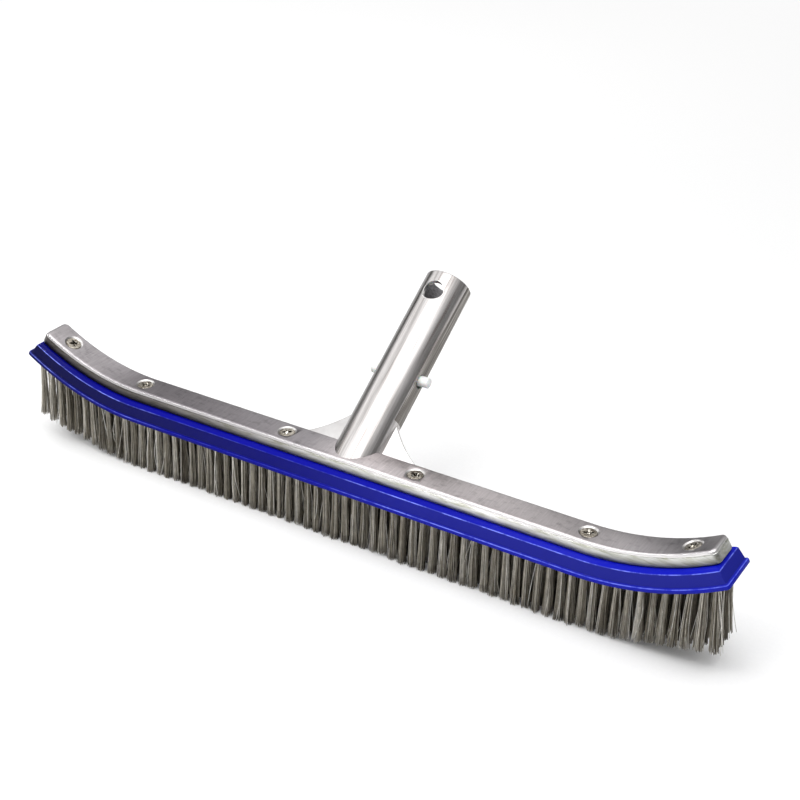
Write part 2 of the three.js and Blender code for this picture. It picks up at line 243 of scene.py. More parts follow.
def turned(name, profile, sides, place=Matrix(), material=None):
    """A solid of revolution about Z from (radius, z) points. The ends lie on the axis."""
    inner = profile[1:-1]
    points = [place @ Vector((0, 0, profile[0][1])), place @ Vector((0, 0, profile[-1][1]))]
    for radius, z in inner:
        for i in range(sides):
            turn = 2 * math.pi * i / sides
            points.append(place @ Vector((radius * math.cos(turn), radius * math.sin(turn), z)))
    faces = []
    last = 2 + (len(inner) - 1) * sides
    for i in range(sides):
        j = (i + 1) % sides
        faces.append((0, 2 + j, 2 + i))
        faces.append((1, last + i, last + j))
        for k in range(len(inner) - 1):
            a = 2 + k * sides
            faces.append((a + i, a + j, a + sides + j, a + sides + i))
    return make_object(name, points, faces, material)


def slab(name, outline, half_thickness, place=Matrix(), material=None):
    """An outline of (x, z) points, given thickness along Y about y = 0."""
    points = [place @ Vector((x, y, z)) for y in (-half_thickness, half_thickness) for x, z in outline]
    n = len(outline)
    faces = [tuple(range(n)), tuple(range(2 * n - 1, n - 1, -1))]
    faces += [(i, n + i, n + (i + 1) % n, (i + 1) % n) for i in range(n)]
    return make_object(name, points, faces, material)


def rounding(centre, radius, start, end, steps):
    """Points of an arc about (a, b), from one angle to another in degrees."""
    turns = [math.radians(start + (end - start) * i / steps) for i in range(steps + 1)]
    return [(centre[0] + radius * math.cos(t), centre[1] + radius * math.sin(t)) for t in turns]


# ---- the brush's long curve ----
def on_curve(arc, height):
    """(x, z, tilt) at an arc length from the middle and a height off the block's top plane."""
    reach = abs(arc)
    side = math.copysign(1, arc)
    angle = max(reach - STRAIGHT_HALF, 0) / BEND_RADIUS
    radius = BEND_RADIUS - height
    x = side * (min(reach, STRAIGHT_HALF) + radius * math.sin(angle))
    return x, BLOCK_TOP + BEND_RADIUS - radius * math.cos(angle), side * angle


def on_back(arc):
    """The frame whose +Z stands on the back's top surface."""
    x, z, tilt = on_curve(arc, BACK_TOP)
    return Matrix.Translation((x, 0, z)) @ Matrix.Rotation(-tilt, 4, "Y")


def underside_at(x):
    radius = BEND_RADIUS + BLOCK_HEIGHT
    past = max(abs(x) - STRAIGHT_HALF, 0)
    return BLOCK_TOP + BEND_RADIUS - math.sqrt(radius ** 2 - past ** 2)


def bar(name, layers, end_arc, corner, material=None, lower=None, split=0):
    """A bar along the curve. Its layers are (half width, height), from one cap to the other, and its ends
    draw in as much as its sides do. The faces below layer number split take the lower material."""
    widest = max(half for half, height in layers)
    count = 2 * round(end_arc / STATION_STEP) + 1
    points = []
    for half, height in layers:
        inset = widest - half
        end = end_arc - inset
        radius = max(corner - inset, 0.1 * MM)
        straight = end - radius
        stations = [(straight * (2 * i / (count - 1) - 1), half) for i in range(count)]
        turns = [math.pi / 2 * (i + 1) / CORNER_STEPS for i in range(CORNER_STEPS)]
        tail = [(straight + radius * math.sin(t), half - radius * (1 - math.cos(t))) for t in turns]
        stations = [(-arc, y) for arc, y in reversed(tail)] + stations + tail
        for arc, y in stations:
            x, z, tilt = on_curve(arc, height)
            points += [(x, y, z), (x, -y, z)]
    rings = len(points) // len(layers)
    faces = []
    lower_faces = 0
    for k in range(len(layers)):
        if k == split:
            lower_faces = len(faces)
        base = k * rings
        for j in range(0, rings - 2, 2):
            if k in (0, len(layers) - 1):
                faces.append((base + j, base + j + 2, base + j + 3, base + j + 1))
            if k < len(layers) - 1:
                for side in (0, 1):
                    a = base + j + side
                    faces.append((a, a + 2, a + rings + 2, a + rings))
        if k < len(layers) - 1:
            for j in (0, rings - 2):
                a = base + j
                faces.append((a, a + 1, a + rings + 1, a + rings))
    piece = make_object(name, points, faces, material)
    if lower:
        piece.data.materials.append(lower)
        for face in piece.data.polygons[:lower_faces]:
            face.material_index = 1
    return piece


# ---- materials ----
class Finish:
    """One procedural material, with short ways to add its nodes. Places are the part's own, in metres."""

    def __init__(self, name, **uniform):
        self.material = bpy.data.materials.new(name)
        self.material.use_nodes = True
        self.tree = self.material.node_tree
        self.shader = self.tree.nodes["Principled BSDF"]
        self.place = self.add("ShaderNodeTexCoord").outputs["Object"]
        for socket, value in uniform.items():
            self.shader.inputs[socket.replace("_", " ")].default_value = value

    def add(self, kind, **settings):
        node = self.tree.nodes.new(kind)
        for key, value in settings.items():
            setattr(node, key, value)
        return node

    def link(self, source, target):
        self.tree.links.new(source, target)

    def mapped(self, scale, rotation=(0, 0, 0)):
        """The coordinates turned, then scaled."""
        turn = self.add("ShaderNodeMapping")
        turn.inputs["Rotation"].default_value = rotation
        self.link(self.place, turn.inputs["Vector"])
        stretch = self.add("ShaderNodeMapping")
        stretch.inputs["Scale"].default_value = scale
        self.link(turn.outputs["Vector"], stretch.inputs["Vector"])
        return stretch.outputs["Vector"]

    def noise(self, size, detail=3, rough=0.5, rotation=(0, 0, 0)):
        """Noise whose features are size across: one number, or one for each axis."""
        sizes = size if hasattr(size, "__len__") else (size,) * 3
        node = self.add("ShaderNodeTexNoise")
        node.inputs["Scale"].default_value = 1
        node.inputs["Detail"].default_value = detail
        node.inputs["Roughness"].default_value = rough
        self.link(self.mapped([1 / s for s in sizes], rotation), node.inputs["Vector"])
        return node.outputs["Fac"]

    def ramp(self, factor, stops):
        """Colours or grey levels at places from 0 to 1."""
        node = self.add("ShaderNodeValToRGB")
        elements = node.color_ramp.elements
        while len(elements) < len(stops):
            elements.new(0.5)
        for element, (at, tone) in zip(elements, stops):
            element.position = at
            element.color = (*tone, 1) if hasattr(tone, "__len__") else (tone, tone, tone, 1)
        self.link(factor, node.inputs["Fac"])
        return node.outputs["Color"]

    def mix(self, factor, first, second, blend="MIX"):
        """Two colours mixed. Each of the three is a socket, or a value."""
        node = self.add("ShaderNodeMix", data_type="RGBA", blend_type=blend)
        for socket, value in ((node.inputs[0], factor), (node.inputs[6], first), (node.inputs[7], second)):
            if isinstance(value, bpy.types.NodeSocket):
                self.link(value, socket)
            else:
                socket.default_value = (*value, 1) if hasattr(value, "__len__") else value
        return node.outputs[2]

    def colour(self, source):
        self.link(source, self.shader.inputs["Base Color"])

    def roughness(self, factor, low, high):
        node = self.add("ShaderNodeMapRange")
        node.inputs["To Min"].default_value = low
        node.inputs["To Max"].default_value = high
        self.link(factor, node.inputs["Value"])
        self.link(node.outputs["Result"], self.shader.inputs["Roughness"])

    def spread(self, value, low, high):
        """0 to 1 as the value goes from low to high."""
        node = self.add("ShaderNodeMapRange")
        node.inputs["From Min"].default_value = low
        node.inputs["From Max"].default_value = high
        self.link(value, node.inputs["Value"])
        return node.outputs["Result"]

    def calculated(self, operation, *terms):
        """One sum. Each term is a socket, or a number."""
        node = self.add("ShaderNodeMath", operation=operation)
        for socket, term in zip(node.inputs, terms):
            if isinstance(term, bpy.types.NodeSocket):
                self.link(term, socket)
            else:
                socket.default_value = term
        return node.outputs["Value"]

    def bump(self, height, depth, strength=1.0):
        """Relief of a real depth. A second call adds to the first."""
        node = self.add("ShaderNodeBump")
        node.inputs["Strength"].default_value = strength
        node.inputs["Distance"].default_value = depth
        self.link(height, node.inputs["Height"])
        before = self.shader.inputs["Normal"].links
        if before:
            self.link(before[0].from_socket, node.inputs["Normal"])
        self.link(node.outputs["Normal"], self.shader.inputs["Normal"])


IN_TUBE = (TUBE_LEAN, 0, 0)  # turns the part's coordinates so that Z runs along the tube
# The finishes' changes over this stretch are painted light and shade.
WHOLE = (-0.22, 0.22)  # the stretch of X over which the finishes change from end to end


def along(finish, low, high):
    """0 to 1 from one place to another along X."""
    split = finish.add("ShaderNodeSeparateXYZ")
    finish.link(finish.place, split.inputs[0])
    return finish.spread(split.outputs["X"], low, high)


def risen(finish, low, high):
    """0 to 1 between two heights off the block's top plane, along the brush's curve."""
    split = finish.add("ShaderNodeSeparateXYZ")
    finish.link(finish.place, split.inputs[0])
    reach = finish.calculated("ABSOLUTE", split.outputs["X"])
    past = finish.calculated("MAXIMUM", finish.calculated("SUBTRACT", reach, STRAIGHT_HALF), 0)
    up = finish.calculated("SUBTRACT", BLOCK_TOP + BEND_RADIUS, split.outputs["Z"])
    square = finish.calculated("ADD", finish.calculated("POWER", past, 2), finish.calculated("POWER", up, 2))
    return finish.spread(finish.calculated("SQRT", square), BEND_RADIUS - low, BEND_RADIUS - high)


def brushed_back():
    """Satin aluminium, linished across its width. A painted reflection changes its tone from end to end,
    brightest near the middle,
    and its edge carries a painted highlight: a smooth pale band over a thin painted dark line, dimmed by
    painted shade towards the -X end."""
    finish = Finish("aluminium_back", Metallic=1.0)
    coarse = finish.noise((1.1 * MM, 14 * MM, 14 * MM), detail=3, rough=0.6)
    lines = finish.noise((0.35 * MM, 9 * MM, 9 * MM), detail=3, rough=0.6)
    smears = finish.noise((7 * MM, 4 * MM, 4 * MM), detail=5, rough=0.7)
    # Painted reflection: the tone changes along X, with a bright peak near the middle.
    painted_reflection_end_to_end = finish.ramp(along(finish, *WHOLE), [
        (0.0, (0.52, 0.49, 0.50)), (0.2, (0.36, 0.33, 0.35)), (0.44, (0.38, 0.355, 0.37)),
        (0.53, (0.86, 0.79, 0.80)), (0.63, (0.62, 0.57, 0.575)), (0.8, (0.54, 0.50, 0.505)),
        (0.95, (0.43, 0.405, 0.42))])
    streaks = finish.mix(1.0, finish.ramp(coarse, [(0.3, 0.84), (0.7, 1.0)]),
                         finish.ramp(lines, [(0.3, 0.8), (0.7, 1.0)]), "MULTIPLY")
    marks = finish.ramp(smears, [(0.3, 0.7), (0.48, 1.0)])
    satin_and_painted_reflection = finish.mix(1.0, finish.mix(1.0, painted_reflection_end_to_end, streaks, "MULTIPLY"), marks, "MULTIPLY")
    # Painted highlight on the edge: a pale band over a thin dark line, from the fine line up to near the top,
    # dimmed by painted shade towards the -X end.
    height = risen(finish, BACK_TOP - BACK_EDGE - BACK_LINE, BACK_TOP)
    edge = finish.ramp(height, [(0.0, 0.9), (0.6, 0.85), (0.92, 0.0)])
    painted_edge_highlight_and_line = finish.ramp(height, [(0.09, (0.24, 0.23, 0.23)), (0.2, (0.90, 0.88, 0.88))])
    painted_shade_to_minus_x = finish.ramp(along(finish, *WHOLE), [(0.0, 0.5), (0.35, 0.62), (0.6, 1.0)])
    finish.colour(finish.mix(edge, satin_and_painted_reflection, finish.mix(1.0, painted_edge_highlight_and_line, painted_shade_to_minus_x, "MULTIPLY")))
    finish.roughness(coarse, 0.24, 0.38)
    finish.bump(lines, 0.01 * MM, 0.4)
    return finish.material


def cast_side():
    """The casting's side walls: dull and mottled, with painted shade darkening the foot and a painted
    reflection that is near black towards the -X end and pale towards +X.
    """
    finish = Finish("aluminium_side", Metallic=1.0)
    grain = finish.noise(0.6 * MM, detail=3)
    blots = finish.noise((12 * MM, 3 * MM, 1.6 * MM), detail=4, rough=0.6)
    clouds = finish.noise((45 * MM, 8 * MM, 8 * MM), detail=2)
    # Painted reflection: near black towards the -X end, pale towards +X.
    painted_reflection_along_x = finish.ramp(along(finish, -0.2, 0.16), [
        (0.0, (0.09, 0.082, 0.08)), (0.2, (0.14, 0.13, 0.125)), (0.42, (0.42, 0.41, 0.40)),
        (0.6, (0.80, 0.80, 0.78)), (0.8, (0.92, 0.915, 0.90)), (1.0, (0.72, 0.725, 0.70))])
    stain = finish.ramp(blots, [(0.36, (0.66, 0.66, 0.57)), (0.56, (1.0, 1.0, 1.0))])
    drift = finish.ramp(clouds, [(0.3, 0.78), (0.7, 1.0)])
    # Painted shade: darker towards the foot of the wall.
    shade = finish.ramp(risen(finish, 0.3 * MM, 6 * MM), [(0.0, 0.28), (0.4, 0.5), (0.85, 1.0)])
    tone = finish.mix(1.0, finish.mix(1.0, painted_reflection_along_x, stain, "MULTIPLY"), drift, "MULTIPLY")
    finish.colour(finish.mix(1.0, tone, shade, "MULTIPLY"))
    finish.roughness(blots, 0.42, 0.26)
    finish.bump(grain, 0.02 * MM, 0.3)
    return finish.material


def polished_tube():
    """Polished aluminium, streaked lengthwise by its polishing, with painted shade darkening it towards its
    -X side.
    """
    finish = Finish("aluminium_tube", Metallic=1.0)
    lines = finish.noise((0.6 * MM, 0.6 * MM, 45 * MM), detail=3, rough=0.6, rotation=IN_TUBE)
    bands = finish.noise((2.6 * MM, 2.6 * MM, 70 * MM), detail=3, rough=0.6, rotation=IN_TUBE)
    base = finish.ramp(bands, [(0.32, (0.36, 0.33, 0.315)), (0.5, (0.60, 0.575, 0.565)),
                               (0.68, (0.74, 0.72, 0.715))])
    streaks = finish.ramp(lines, [(0.3, 0.76), (0.7, 1.0)])
    # Painted shade: the tube is darkened across its -X side.
    painted_shade_tube_side = finish.ramp(along(finish, -TUBE_RADIUS, TUBE_RADIUS),
                               [(0.0, 0.16), (0.14, 0.5), (0.3, 1.0)])
    finish.colour(finish.mix(1.0, finish.mix(1.0, base, streaks, "MULTIPLY"), painted_shade_tube_side, "MULTIPLY"))
    finish.roughness(bands, 0.22, 0.36)
    finish.bump(lines, 0.02 * MM, 0.5)
    return finish.material


def ground_flat():
    """The tube's ground sides: dark, with coarse lengthwise streaks."""
    finish = Finish("aluminium_flat", Metallic=1.0)
    lines = finish.noise((1.1 * MM, 1.1 * MM, 60 * MM), detail=3, rough=0.6, rotation=IN_TUBE)
    finish.colour(finish.ramp(lines, [(0.35, (0.075, 0.068, 0.06)), (0.52, (0.17, 0.155, 0.14)),
                                      (0.7, (0.42, 0.40, 0.375))]))
    finish.roughness(lines, 0.3, 0.42)
    finish.bump(lines, 0.03 * MM, 0.5)
    return finish.material


def cast_web():
    """Aluminium as it left the die: pale and dull, with faint blots, and greyer on the -X side from painted
    shade.
    """
    finish = Finish("aluminium_web", Metallic=1.0)
    grain = finish.noise(0.8 * MM, detail=4)
    clouds = finish.noise(7 * MM, detail=4, rough=0.6)
    pale = finish.ramp(clouds, [(0.32, (0.68, 0.66, 0.655)), (0.6, (0.77, 0.755, 0.75))])
    # Painted shade: the web on the -X side is greyer.
    painted_shade_to_minus_x = finish.ramp(along(finish, -0.05, 0.01), [(0.0, 0.8), (0.7, 0.8), (1.0, 1.0)])
    finish.colour(finish.mix(1.0, pale, painted_shade_to_minus_x, "MULTIPLY"))
    finish.roughness(grain, 0.36, 0.48)
    finish.bump(grain, 0.02 * MM, 0.3)
    return finish.material


def dark_bore():
    """The inside of the tube: dark grey and never polished."""
    finish = Finish("aluminium_bore", Metallic=0.5)
    rings = finish.noise((2 * MM, 2 * MM, 0.6 * MM), detail=4, rotation=IN_TUBE)
    finish.colour(finish.ramp(rings, [(0.3, (0.12, 0.115, 0.12)), (0.7, (0.30, 0.29, 0.30))]))
    finish.roughness(rings, 0.5, 0.65)
    return finish.material


def machined_cut():
    """Bright cut metal in the countersinks and the holes."""
    finish = Finish("aluminium_cut", Metallic=1.0)
    rings = finish.noise(0.3 * MM, detail=2)
    finish.colour(finish.ramp(rings, [(0.3, (0.50, 0.48, 0.47)), (0.7, (0.76, 0.75, 0.74))]))
    finish.roughness(rings, 0.24, 0.36)
    return finish.material


def blue_plastic():
    """Glossy blue moulding with fine scuffs. Its colour carries painted light and shade: the walls take a
    painted shaded copy of the blue of the upward faces, both are painted darker towards the -X end, and a
    painted highlight draws a thin light line along its two long edges, broken up by noise and faint in the
    middle."""
    finish = Finish("blue_moulding", Specular_IOR_Level=0.07, IOR=1.5)
    clouds = finish.noise((30 * MM, 8 * MM, 8 * MM), detail=3)
    scuffs = finish.noise((5 * MM, 0.5 * MM, 0.5 * MM), detail=5, rough=0.65)
    waves = finish.noise((7 * MM, 1.6 * MM, 1.6 * MM), detail=2)
    glints = finish.noise((9 * MM, 8 * MM, 8 * MM), detail=4, rough=0.7)
    whole = along(finish, *WHOLE)
    # Painted light and shade: the first ramp is the blue as lit on the upward faces, the second a painted
    # shaded copy of it for the walls; both are painted darker towards the -X end.
    bright = finish.ramp(whole, [(0.0, (0.002, 0.003, 0.15)), (0.15, (0.002, 0.003, 0.29)),
                                 (0.6, (0.003, 0.005, 0.34)), (0.85, (0.004, 0.008, 0.46))])
    painted_shade_blue = finish.ramp(whole, [(0.0, (0.002, 0.002, 0.045)), (0.2, (0.002, 0.003, 0.085)),
                               (0.4, (0.003, 0.004, 0.15)), (0.6, (0.011, 0.014, 0.25)),
                               (1.0, (0.014, 0.018, 0.255))])
    height = risen(finish, -BLOCK_HEIGHT, 0)
    # Where the painted shaded copy is used: the wall and the flange's side, not the flange's top or the
    # shoulder.
    wall = finish.ramp(height, [(0.0, 0.8), (0.14, 0.5), (0.2, 0.0), (0.26, 1.0), (0.8, 1.0), (0.86, 0.0)])
    tone = finish.mix(finish.ramp(clouds, [(0.3, 0.25), (0.7, 0.0)]), finish.mix(wall, bright, painted_shade_blue), painted_shade_blue)
    # Painted highlight: a thin light line on the flange's top edge and on the wall's top edge, broken up by
    # noise, faint just left of the middle, in a light blue laid over the rest.
    edges = finish.ramp(height, [(0.18, 0.0), (0.2, 0.8), (0.214, 0.8), (0.224, 0.0),
                                 (0.81, 0.0), (0.826, 1.0), (0.848, 1.0), (0.86, 0.0)])
    reach = finish.ramp(whole, [(0.0, 0.9), (0.14, 0.8), (0.22, 0.12), (0.48, 0.15),
                                (0.58, 1.0), (0.75, 1.0), (1.0, 0.7)])
    lit = finish.mix(1.0, edges, finish.ramp(glints, [(0.42, 0.2), (0.58, 1.0)]), "MULTIPLY")
    base = finish.mix(finish.mix(1.0, lit, reach, "MULTIPLY"), tone, (0.22, 0.28, 0.98))
    scuffed = finish.ramp(scuffs, [(0.66, 0.0), (0.8, 0.4)])
    finish.colour(finish.mix(scuffed, base, (0.02, 0.03, 0.55)))
    finish.roughness(scuffs, 0.08, 0.2)
    finish.bump(waves, 0.06 * MM, 0.4)
    return finish.material


def steel_wire():
    """Drawn steel wire. Each wire has its own tone, which also carries painted shade from its place in its
    tuft, and is mottled along its length.
    """
    finish = Finish("steel_wire", Metallic=1.0)
    tone = finish.add("ShaderNodeAttribute", attribute_name="tone").outputs["Fac"]
    own = finish.ramp(tone, [(0.0, (0.07, 0.06, 0.045)), (0.4, (0.29, 0.262, 0.21)),
                             (0.8, (0.70, 0.66, 0.58)), (1.0, (0.95, 0.93, 0.89))])
    mottle = finish.noise((1.5 * MM, 1.5 * MM, 4 * MM), detail=4, rough=0.6)
    finish.colour(finish.mix(1.0, own, finish.ramp(mottle, [(0.3, 0.55), (0.7, 1.0)]), "MULTIPLY"))
    finish.roughness(mottle, 0.28, 0.48)
    return finish.material


def nickel_plate():
    """Plated screws: warm, bright and slightly tarnished."""
    finish = Finish("nickel_plate", Metallic=1.0)
    tarnish = finish.noise(1.1 * MM, detail=5, rough=0.7)
    finish.colour(finish.ramp(tarnish, [(0.38, (0.10, 0.075, 0.05)), (0.5, (0.42, 0.38, 0.32)),
                                        (0.66, (0.72, 0.69, 0.62))]))
    finish.roughness(tarnish, 0.4, 0.2)
    finish.bump(tarnish, 0.04 * MM, 0.5)
    return finish.material


def dark_speckled_recess():
    """The bottom of the screws' recesses: nearly black, with bright specks."""
    finish = Finish("nickel_recess", Metallic=1.0)
    specks = finish.noise(0.9 * MM, detail=3, rough=0.6)
    finish.colour(finish.ramp(specks, [(0.5, (0.025, 0.018, 0.012)), (0.57, (0.85, 0.81, 0.73))]))
    finish.roughness(specks, 0.5, 0.2)
    finish.bump(specks, 0.12 * MM, 0.7)
    return finish.material


def white_nylon():
    """Moulded nylon: nearly white, waxy and slightly translucent."""
    finish = Finish("white_nylon", Subsurface_Weight=0.25, Subsurface_Scale=0.001, IOR=1.53)
    clouds = finish.noise(3 * MM, detail=3)
    grain = finish.noise(0.25 * MM, detail=3)
    finish.colour(finish.ramp(clouds, [(0.3, (0.80, 0.80, 0.78)), (0.7, (0.90, 0.90, 0.885))]))
    finish.roughness(grain, 0.32, 0.5)
    finish.bump(grain, 0.02 * MM, 0.3)
    return finish.material


# ---- pieces ----
TUBE = Matrix.Translation((
    0,
    TUBE_FOOT_Y + TUBE_LENGTH * math.sin(TUBE_LEAN),
    BLOCK_TOP + TUBE_FOOT_UP + TUBE_LENGTH * math.cos(TUBE_LEAN),
)) @ Matrix.Rotation(-TUBE_LEAN, 4, "X")  # +Z out along the tube, from the middle of its open end


def in_tube(x_degrees, y_degrees, x, along):
    turn = Euler((math.radians(x_degrees), math.radians(y_degrees), 0), "YXZ").to_matrix().to_4x4()
    return TUBE @ Matrix.Translation((x, 0, along)) @ turn


def make_back(top, side):
    """The bar along the block: an undercut foot, a side wall, a fine line and the broad rounding above it."""
    small = 0.35 * MM
    line = BACK_TOP - BACK_EDGE - BACK_LINE
    wall = [
        (BACK_HALF - 0.9 * MM, SEAT),
        (BACK_HALF - 0.3 * MM, SEAT + 0.15 * MM),
        (BACK_HALF, SEAT + 0.7 * MM),
    ]
    wall += rounding((BACK_HALF - small, line - small), small, 0, 75, 4)
    wall += [(BACK_TOP_HALF - 0.12 * MM, line)]
    edge = rounding((BACK_TOP_HALF - BACK_EDGE, BACK_TOP - BACK_EDGE), BACK_EDGE, 0, 90, 8)
    return bar("handle_casting_fine", wall + edge, BACK_END, BACK_CORNER, top, lower=side, split=len(wall))


def make_channel(material):
    layers = [(CHANNEL_HALF, -1 * MM), (CHANNEL_HALF, CHANNEL_TOP)]
    return bar("channel", layers, BACK_END - BACK_WALL, BACK_CORNER - BACK_WALL, material)


def make_tube(material, flat):
    lip = rounding((TUBE_RADIUS - 0.7 * MM, -0.7 * MM), 0.7 * MM, 0, 90, 5)
    profile = [(0, -TUBE_LENGTH - TUBE_TAIL), (TUBE_RADIUS, -TUBE_LENGTH - TUBE_TAIL), *lip, (0, 0)]
    tube = turned("tube", profile, TUBE_SIDES, TUBE, material)
    past = TUBE_RADIUS + 2 * MM
    for side in (-1, 1):
        outline = [(side * FLAT_AT_MOUTH, MM), (side * past, MM),
                   (side * past, -FLAT_LENGTH), (side * FLAT_AT_WEB, -FLAT_LENGTH)]
        combine(tube, "DIFFERENCE", slab("flat", outline, 2 * TUBE_RADIUS, TUBE, flat))
    return tube


def make_webs(material, edge):
    start = Vector((BORE_RADIUS + 1.4 * MM, -WEB_TOP))
    middle = Vector((WEB_REACH * 0.57, -WEB_FOOT + 6.6 * MM))
    end = Vector((WEB_REACH, -WEB_FOOT))
    steps = 28
    right = []
    for i in range(steps + 1):
        t = i / steps
        right.append(start * (1 - t) ** 2 + middle * 2 * t * (1 - t) + end * t ** 2)
    outline = [(p.x, p.y) for p in right] + [(-p.x, p.y) for p in reversed(right)]
    webs = slab("webs", outline, WEB_HALF, TUBE, material)
    webs.data.materials.append(edge)
    return bevelled(webs, WEB_BEVEL, 2, 60, material_index=1)


def make_handle_cores(bore, cut):
    lip = rounding((BORE_RADIUS + 0.5 * MM, -0.5 * MM), 0.5 * MM, 180, 90, 4)
    profile = [(0, -BORE_DEPTH), (BORE_RADIUS - MM, -BORE_DEPTH), (BORE_RADIUS, -BORE_DEPTH + MM), *lip,
               (BORE_RADIUS + 0.5 * MM, MM), (0, MM)]
    past = TUBE_RADIUS + 2 * MM
    hole = [(0, 0), (ACCESS_HOLE_RADIUS, 0), (ACCESS_HOLE_RADIUS, past), (0, past)]
    through = [(0, -past), (BUTTON_HOLE_RADIUS, -past), (BUTTON_HOLE_RADIUS, past), (0, past)]
    return [
        turned("bore", profile, TUBE_SIDES, TUBE, bore),
        turned("access_hole", hole, 72, in_tube(90, 0, 0, -ACCESS_HOLE_AT), cut),
        turned("button_hole", through, 56, in_tube(0, 90, 0, -BUTTON_HOLE_AT), cut),
    ]


def make_hole_rim(material):
    """The raised bright edge round the access hole, a thin ring laid on the tube."""
    loop, sides = 96, 8
    radius = ACCESS_HOLE_RADIUS + 0.2 * MM
    points, faces = [], []
    for i in range(loop):
        t = 2 * math.pi * i / loop
        for j in range(sides):
            u = 2 * math.pi * j / sides
            out = radius + RIM_WIDTH * math.cos(u)
            x, at = out * math.cos(t), out * math.sin(t) - ACCESS_HOLE_AT
            y = -math.sqrt(TUBE_RADIUS ** 2 - x ** 2) - RIM_HEIGHT * math.sin(u)
            points.append(TUBE @ Vector((x, y, at)))
            a, b = i * sides, (i + 1) % loop * sides
            k = (j + 1) % sides
            faces.append((a + j, a + k, b + k, b + j))
    return make_object("hole_rim", points, faces, material)


def make_countersink(arc, material):
    shank = SHANK_RADIUS + SEAT
    depth = COUNTERSINK_RADIUS - shank
    edge = 0.25 * MM
    profile = [(0, -6 * MM), (shank, -6 * MM), (shank, -depth), (COUNTERSINK_RADIUS - edge, -edge),
               (COUNTERSINK_RADIUS + edge, 0.02 * MM), (COUNTERSINK_RADIUS + edge, MM), (0, MM)]
    return turned("countersink", profile, 56, on_back(arc), material)


def make_handle_casting():
    web, cut, bore, flat = cast_web(), machined_cut(), dark_bore(), ground_flat()
    far = 60 * MM
    roof = BLOCK_TOP + (BACK_TOP + CHANNEL_TOP) / 2
    handle = combine(make_tube(polished_tube(), flat), "UNION", make_webs(web, flat))
    in_front = block("in_front", (-far, -far, 0), (far, BACK_HALF - BACK_WALL / 2, roof), material=web)
    under = block("under", (-far, -far, -MM), (far, far, BLOCK_TOP + SEAT), material=web)
    combine(handle, "DIFFERENCE", in_front, under)
    casting = combine(make_back(brushed_back(), cast_side()), "UNION", handle)
    combine(casting, "DIFFERENCE", make_channel(web), *make_handle_cores(bore, cut))
    combine(casting, "DIFFERENCE", *[make_countersink(arc, cut) for arc in SCREW_ARCS])
    combine(casting, "UNION", make_hole_rim(cut))
    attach(shaded(casting), "brush")
    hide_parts("handle_casting")


def make_brush_block():
    """Flange, leaning wall, a crisp edge, and the shoulder that slopes up under the casting."""
    material = blue_plastic()
    base = -BLOCK_HEIGHT
    ledge = base + FLANGE_HEIGHT
    foot, top, small = FLANGE_FOOT_ROUNDING, FLANGE_TOP_ROUNDING, WALL_ROUNDING
    slack = 0.45 * MM  # a little under a radius, because the wall leans
    crown = 0.15 * MM  # how much the shoulder's slope bulges
    flange = rounding((FLANGE_HALF - foot, base + foot), foot, -90, 0, 4)
    flange += rounding((FLANGE_HALF - top, ledge - top), top, 0, 80, 5)
    fillet = rounding((WALL_FOOT_HALF + slack, ledge + small), small, 250, 185, 4)
    wall = rounding((WALL_TOP_HALF - small, -SHOULDER_DROP - slack), small, 5, 58, 5)
    shoulder = [((WALL_TOP_HALF + SHOULDER_HALF) / 2, -SHOULDER_DROP / 2 + crown), (SHOULDER_HALF, 0)]
    piece = bar("brush_block_fine", flange + fillet + wall + shoulder, BLOCK_END, BLOCK_CORNER, material)
    tongue_half = CHANNEL_HALF - SEAT
    tongue = bar("tongue", [(tongue_half, -MM), (tongue_half, CHANNEL_TOP - SEAT)],
                 BACK_END - BACK_WALL - SEAT, BACK_CORNER - BACK_WALL, material)
    combine(piece, "UNION", tongue)
    combine(piece, "DIFFERENCE", make_tuft_holes(material))
    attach(shaded(piece, 40), "brush")
    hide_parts("brush_block")


def make_tuft_holes(material):
    """One round blind hole for each tuft, all in one object."""
    holes = []
    for number in range(TUFT_GROUPS):
        for x in group_columns(number):
            base = underside_at(x)
            top = base + TUFT_HOLE_DEPTH
            profile = [(0, base - 2 * MM), (TUFT_HOLE_RADIUS, base - 2 * MM), (TUFT_HOLE_RADIUS, top),
                       (0, top + 0.5 * MM)]
            for y in tuft_rows():
                holes.append(turned("hole", profile, 14, Matrix.Translation((x, y, 0)), material))
    return gathered("tuft_holes", holes)


def tuft_rows():
    return [(i - (TUFT_ROWS - 1) / 2) * TUFT_PITCH for i in range(TUFT_ROWS)]


def group_columns(number):
    """The places along X of a group's columns of tufts, from its CAD node's box."""
    low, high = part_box(f"tuft_group_{number + 1:02d}")
    middle = (low.x + high.x) / 2
    return [middle + (i - (COLUMNS_PER_GROUP - 1) / 2) * TUFT_PITCH for i in range(COLUMNS_PER_GROUP)]


def thread(low, high, pitch, depth):
    """(z, turn) to radius, for a screw thread between two heights that runs out at both ends."""
    def radius(z, turn):
        phase = (z / pitch - turn / (2 * math.pi)) % 1
        run_out = min((z - low) / pitch, (high - z) / pitch, 1)
        return SHANK_RADIUS - depth * (1 - max(0, 1 - abs(phase - 0.5) * 3.2)) * max(run_out, 0)
    return radius


